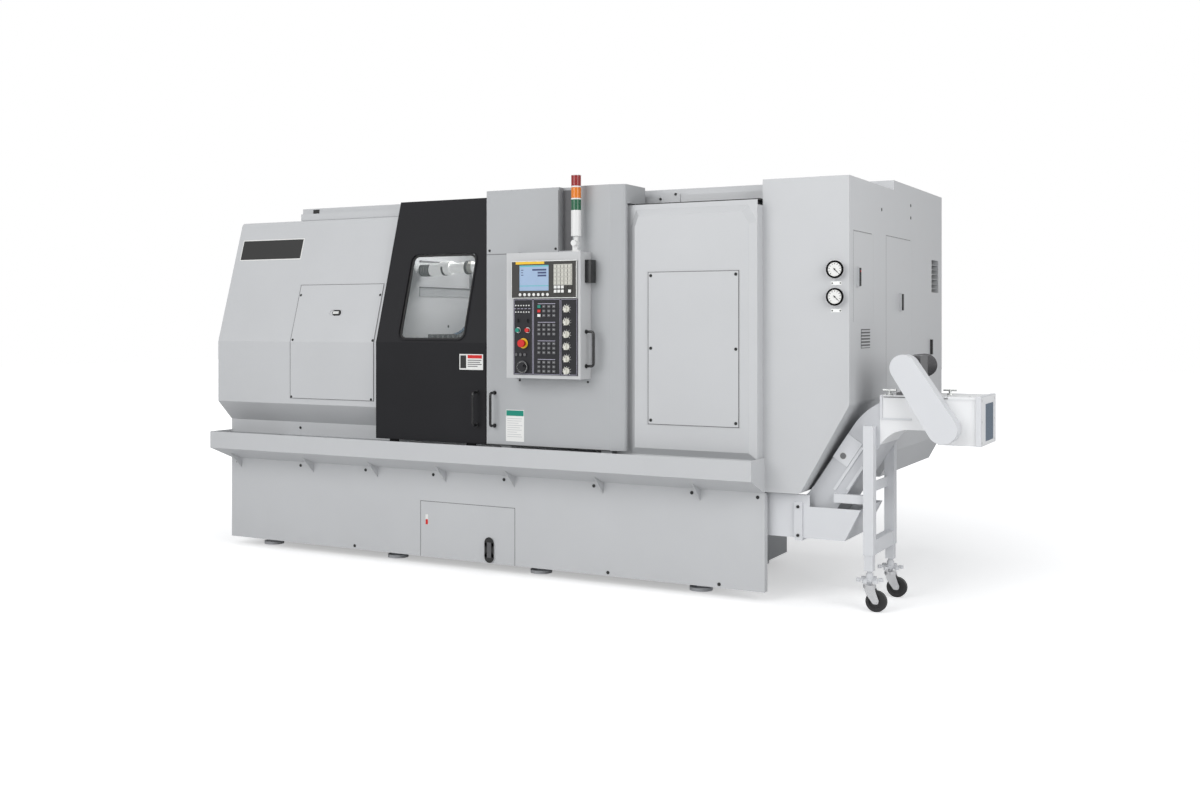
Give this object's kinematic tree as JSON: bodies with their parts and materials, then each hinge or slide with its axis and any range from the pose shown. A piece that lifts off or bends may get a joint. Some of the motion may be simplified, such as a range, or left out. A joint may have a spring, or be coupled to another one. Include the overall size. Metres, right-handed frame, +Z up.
{
  "type": "cnc turning lathe",
  "caption": "Slant-bed turning lathe in a grey sheet-metal enclosure with a black sliding door, an operator box, a signal tower, an end cabinet and a chip conveyor.",
  "frame": {"origin": "on the floor, under the middle of the machine's box", "axes": "+X to the machine's right, along its length, seen from the operator; +Y from the front to the back; +Z up"},
  "size_m": [4.542, 2.18, 2.135],
  "materials": {
    "machine_grey": "satin",
    "casting_grey": "satin",
    "conveyor_white": "satin",
    "panel_grey": "satin",
    "door_black": "fine texture",
    "window_glass": "clear",
    "handle_black": "matte",
    "panel_black": "matte",
    "bright_steel": "bright",
    "ground_steel": "ground",
    "dark_steel": "dark",
    "stop_red": "gloss",
    "start_green": "gloss",
    "tower_white": "satin",
    "tower_lens": "clear coloured",
    "wheel_black": "matte"
  },
  "bodies": {
    "machine": {"base_frame": "casting_grey", "levelling_feet": "dark_steel", "skirt": "machine_grey", "service_panel": "machine_grey", "drip_tray": "machine_grey", "left_cover": "machine_grey", "access_plates": "machine_grey", "body_guard": "machine_grey", "right_panel": "machine_grey", "cabinet": "machine_grey", "pressure_gauges": "bright_steel", "headstock": "casting_grey", "slant_bed": "ground_steel", "work_lamp": "bright_steel", "coolant_tank": "conveyor_white", "conveyor_trough": "conveyor_white", "conveyor_head": "conveyor_white", "chain_guard": "conveyor_white", "gear_motor": "dark_steel", "conveyor_stand": "conveyor_white"},
    "black_door": {"black_door": "door_black", "door_window": "window_glass", "black_door_handle": "handle_black"},
    "grey_door": {"grey_door": "machine_grey", "grey_door_handle": "handle_black"},
    "operator_box": {"operator_box": "panel_grey", "display_unit": "panel_black", "operator_panel": "panel_black", "box_handle": "handle_black", "port_cover": "handle_black", "tower_foot": "tower_white"},
    "stop_button": {"stop_button": "stop_red"},
    "start_button": {"start_button": "start_green"},
    "hold_button": {"hold_button": "stop_red"},
    "pulse_dial": {"pulse_dial": "panel_black"},
    "signal_tower": {"tower_pole": "tower_white", "tower_lenses": "tower_lens"},
    "spindle": {"spindle": "ground_steel"},
    "jaw_1": {"chuck_jaw_1": "dark_steel"},
    "jaw_2": {"chuck_jaw_2": "dark_steel"},
    "jaw_3": {"chuck_jaw_3": "dark_steel"},
    "carriage": {"carriage": "casting_grey"},
    "cross_slide": {"cross_slide": "casting_grey"},
    "turret": {"turret_disc": "ground_steel"},
    "tailstock": {"tailstock": "casting_grey"},
    "quill": {"quill": "ground_steel"},
    "cabinet_door_front": {"cabinet_door_front": "machine_grey"},
    "cabinet_door_rear": {"cabinet_door_rear": "machine_grey"},
    "head_shaft": {"head_shaft": "dark_steel"},
    "motor_sprocket": {"motor_sprocket": "dark_steel"},
    "rotary_knob_1": {"rotary_knob_1": "handle_black"},
    "rotary_knob_2": {"rotary_knob_2": "handle_black"},
    "rotary_knob_3": {"rotary_knob_3": "handle_black"},
    "rotary_knob_4": {"rotary_knob_4": "handle_black"},
    "rotary_knob_5": {"rotary_knob_5": "handle_black"},
    "rotary_knob_6": {"rotary_knob_6": "handle_black"},
    "caster_fork_front": {"caster_fork_front": "bright_steel"},
    "caster_wheel_front": {"caster_wheel_front": "wheel_black"},
    "caster_fork_rear": {"caster_fork_rear": "bright_steel"},
    "caster_wheel_rear": {"caster_wheel_rear": "wheel_black"}
  },
  "joints": [
    {"name": "black_door_slide", "type": "slide", "parent": "machine", "child": "black_door", "axis": [-1, 0, 0], "range_m": [0, 0.69]},
    {"name": "grey_door_slide", "type": "slide", "parent": "machine", "child": "grey_door", "axis": [1, 0, 0], "range_m": [0, 0.69]},
    {"name": "operator_box_swing", "type": "hinge", "parent": "grey_door", "child": "operator_box", "pos_m": [-0.073, -0.955, 1.4], "axis": [0, 0, -1], "range_deg": [0, 75]},
    {"name": "stop_button_press", "type": "slide", "parent": "operator_box", "child": "stop_button", "axis": [0, 1, 0], "range_m": [0, 0.004], "stiffness_N_per_m": 400},
    {"name": "start_button_press", "type": "slide", "parent": "operator_box", "child": "start_button", "axis": [0, 1, 0], "range_m": [0, 0.004], "stiffness_N_per_m": 400},
    {"name": "hold_button_press", "type": "slide", "parent": "operator_box", "child": "hold_button", "axis": [0, 1, 0], "range_m": [0, 0.004], "stiffness_N_per_m": 400},
    {"name": "rotary_knob_1_turn", "type": "hinge", "parent": "operator_box", "child": "rotary_knob_1", "pos_m": [0.281, -1.056, 1.448], "axis": [0, 1, 0], "range_deg": [-135, 135]},
    {"name": "rotary_knob_2_turn", "type": "hinge", "parent": "operator_box", "child": "rotary_knob_2", "pos_m": [0.281, -1.056, 1.382], "axis": [0, 1, 0], "range_deg": [-135, 135]},
    {"name": "rotary_knob_3_turn", "type": "hinge", "parent": "operator_box", "child": "rotary_knob_3", "pos_m": [0.281, -1.056, 1.318], "axis": [0, 1, 0], "range_deg": [-135, 135]},
    {"name": "rotary_knob_4_turn", "type": "hinge", "parent": "operator_box", "child": "rotary_knob_4", "pos_m": [0.281, -1.056, 1.256], "axis": [0, 1, 0], "range_deg": [-135, 135]},
    {"name": "rotary_knob_5_turn", "type": "hinge", "parent": "operator_box", "child": "rotary_knob_5", "pos_m": [0.281, -1.056, 1.194], "axis": [0, 1, 0], "range_deg": [-135, 135]},
    {"name": "rotary_knob_6_turn", "type": "hinge", "parent": "operator_box", "child": "rotary_knob_6", "pos_m": [0.281, -1.056, 1.132], "axis": [0, 1, 0], "range_deg": [-135, 135]},
    {"name": "pulse_dial_turn", "type": "hinge", "parent": "operator_box", "child": "pulse_dial", "pos_m": [0.021, -1.056, 1.148], "axis": [0, 1, 0], "continuous": true},
    {"name": "signal_tower_tilt", "type": "hinge", "parent": "operator_box", "child": "signal_tower", "pos_m": [0.307, -1.005, 1.785], "axis": [0, 1, 0], "range_deg": [0, 90]},
    {"name": "spindle_turn", "type": "hinge", "parent": "machine", "child": "spindle", "pos_m": [-1.009, -0.36233, 1.07194], "axis": [1, 0, 0], "continuous": true},
    {"name": "jaw_1_slide", "type": "slide", "parent": "spindle", "child": "jaw_1", "axis": [0, 0, 1], "range_m": [-0.014, 0.006]},
    {"name": "jaw_2_slide", "type": "slide", "parent": "spindle", "child": "jaw_2", "axis": [0, -0.866, -0.5], "range_m": [-0.014, 0.006]},
    {"name": "jaw_3_slide", "type": "slide", "parent": "spindle", "child": "jaw_3", "axis": [0, 0.866, -0.5], "range_m": [-0.014, 0.006]},
    {"name": "carriage_slide", "type": "slide", "parent": "machine", "child": "carriage", "axis": [1, 0, 0], "range_m": [-0.04, 0.38]},
    {"name": "cross_slide_travel", "type": "slide", "parent": "carriage", "child": "cross_slide", "axis": [0, -0.7071, -0.7071], "range_m": [0, 0.15]},
    {"name": "turret_index", "type": "hinge", "parent": "cross_slide", "child": "turret", "pos_m": [-0.711, -0.06534, 1.36892], "axis": [1, 0, 0], "continuous": true},
    {"name": "tailstock_slide", "type": "slide", "parent": "machine", "child": "tailstock", "axis": [1, 0, 0], "range_m": [-0.4, 0]},
    {"name": "quill_travel", "type": "slide", "parent": "tailstock", "child": "quill", "axis": [-1, 0, 0], "range_m": [0, 0.12]},
    {"name": "cabinet_door_front_swing", "type": "hinge", "parent": "machine", "child": "cabinet_door_front", "pos_m": [1.676, -0.3816, 1.6], "axis": [0, 0, 1], "range_deg": [0, 100]},
    {"name": "cabinet_door_rear_swing", "type": "hinge", "parent": "machine", "child": "cabinet_door_rear", "pos_m": [1.676, 0.3744, 1.5], "axis": [0, 0, 1], "range_deg": [0, 100]},
    {"name": "caster_front_swivel", "type": "hinge", "parent": "machine", "child": "caster_fork_front", "pos_m": [1.753, -0.715, 0.127], "axis": [0, 0, 1], "continuous": true},
    {"name": "caster_front_roll", "type": "hinge", "parent": "caster_fork_front", "child": "caster_wheel_front", "pos_m": [1.786, -0.715, 0.05], "axis": [0, 1, 0], "continuous": true},
    {"name": "caster_rear_swivel", "type": "hinge", "parent": "machine", "child": "caster_fork_rear", "pos_m": [1.753, -0.345, 0.127], "axis": [0, 0, 1], "continuous": true},
    {"name": "caster_rear_roll", "type": "hinge", "parent": "caster_fork_rear", "child": "caster_wheel_rear", "pos_m": [1.786, -0.345, 0.05], "axis": [0, 1, 0], "continuous": true},
    {"name": "head_shaft_turn", "type": "hinge", "parent": "machine", "child": "head_shaft", "pos_m": [2.109, -0.59, 0.886], "axis": [0, 1, 0], "continuous": true},
    {"name": "motor_sprocket_turn", "type": "hinge", "parent": "machine", "child": "motor_sprocket", "pos_m": [1.927, -0.73, 1.167], "axis": [0, 1, 0], "continuous": true}
  ],
  "couplings": [
    {"joint": "jaw_2_slide", "follows": "jaw_1_slide", "ratio": 1},
    {"joint": "jaw_3_slide", "follows": "jaw_1_slide", "ratio": 1},
    {"joint": "motor_sprocket_turn", "follows": "head_shaft_turn", "ratio": 1.3}
  ]
}
